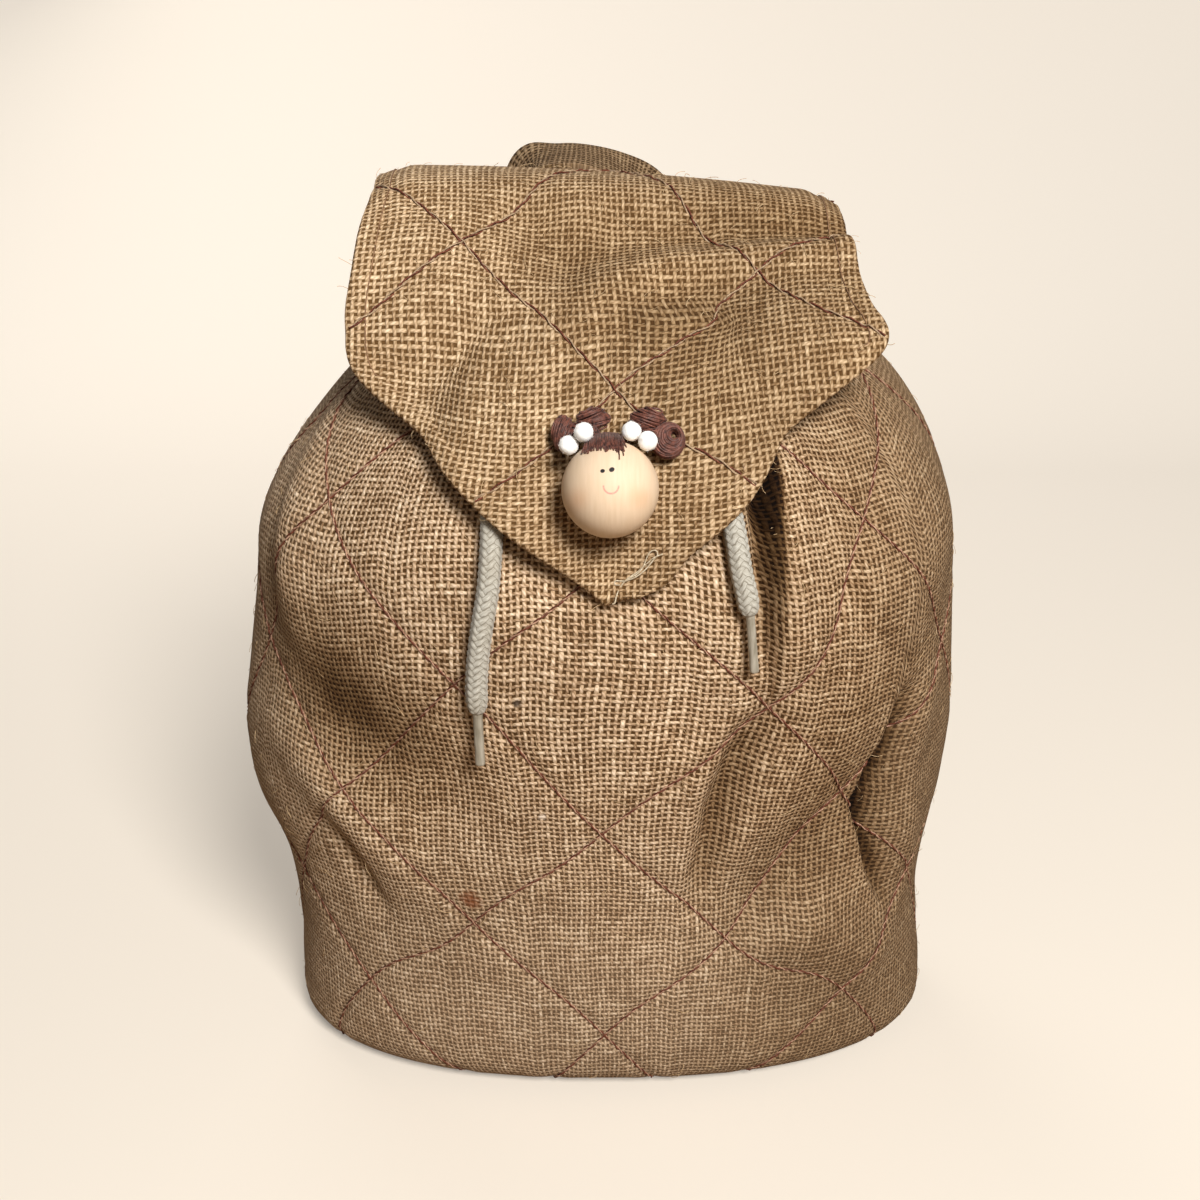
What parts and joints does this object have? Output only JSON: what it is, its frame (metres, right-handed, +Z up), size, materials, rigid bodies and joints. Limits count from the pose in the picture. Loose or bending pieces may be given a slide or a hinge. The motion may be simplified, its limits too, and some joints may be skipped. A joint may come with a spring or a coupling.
{
  "type": "jute drawstring backpack",
  "caption": "Soft jute backpack with a gathered neck, a pointed fold-over flap, a drawstring with hanging ends, plain back straps and a wooden doll-head button.",
  "frame": {"origin": "on the floor, at the middle of the bottom panel's flat under side", "axes": "+Z up, front faces -Y, +X to the right seen from the front"},
  "size_m": [0.3215, 0.2653, 0.3996],
  "materials": {
    "jute": "coarse plain weave, matte",
    "jute_trim": "folded jute strip, matte",
    "cord": "braided cotton, matte",
    "aglet": "satin",
    "wood": "plain sanded, satin",
    "hair": "wound floss with a soft sheen",
    "beads": "flocked, matte"
  },
  "bodies": {
    "root": {"body": "jute", "base": "jute", "flap": "jute", "strap_left": "jute_trim", "strap_right": "jute_trim", "haul_loop": "jute_trim", "drawstring": "cord", "cord_left": "cord", "cord_right": "cord", "aglet_left": "aglet", "aglet_right": "aglet", "head_ball": "wood", "hair_left": "hair", "hair_right": "hair", "hair_fringe": "hair", "bead_left_inner": "beads", "bead_left_outer": "beads", "bead_right_inner": "beads", "bead_right_outer": "beads"}
  },
  "joints": []
}
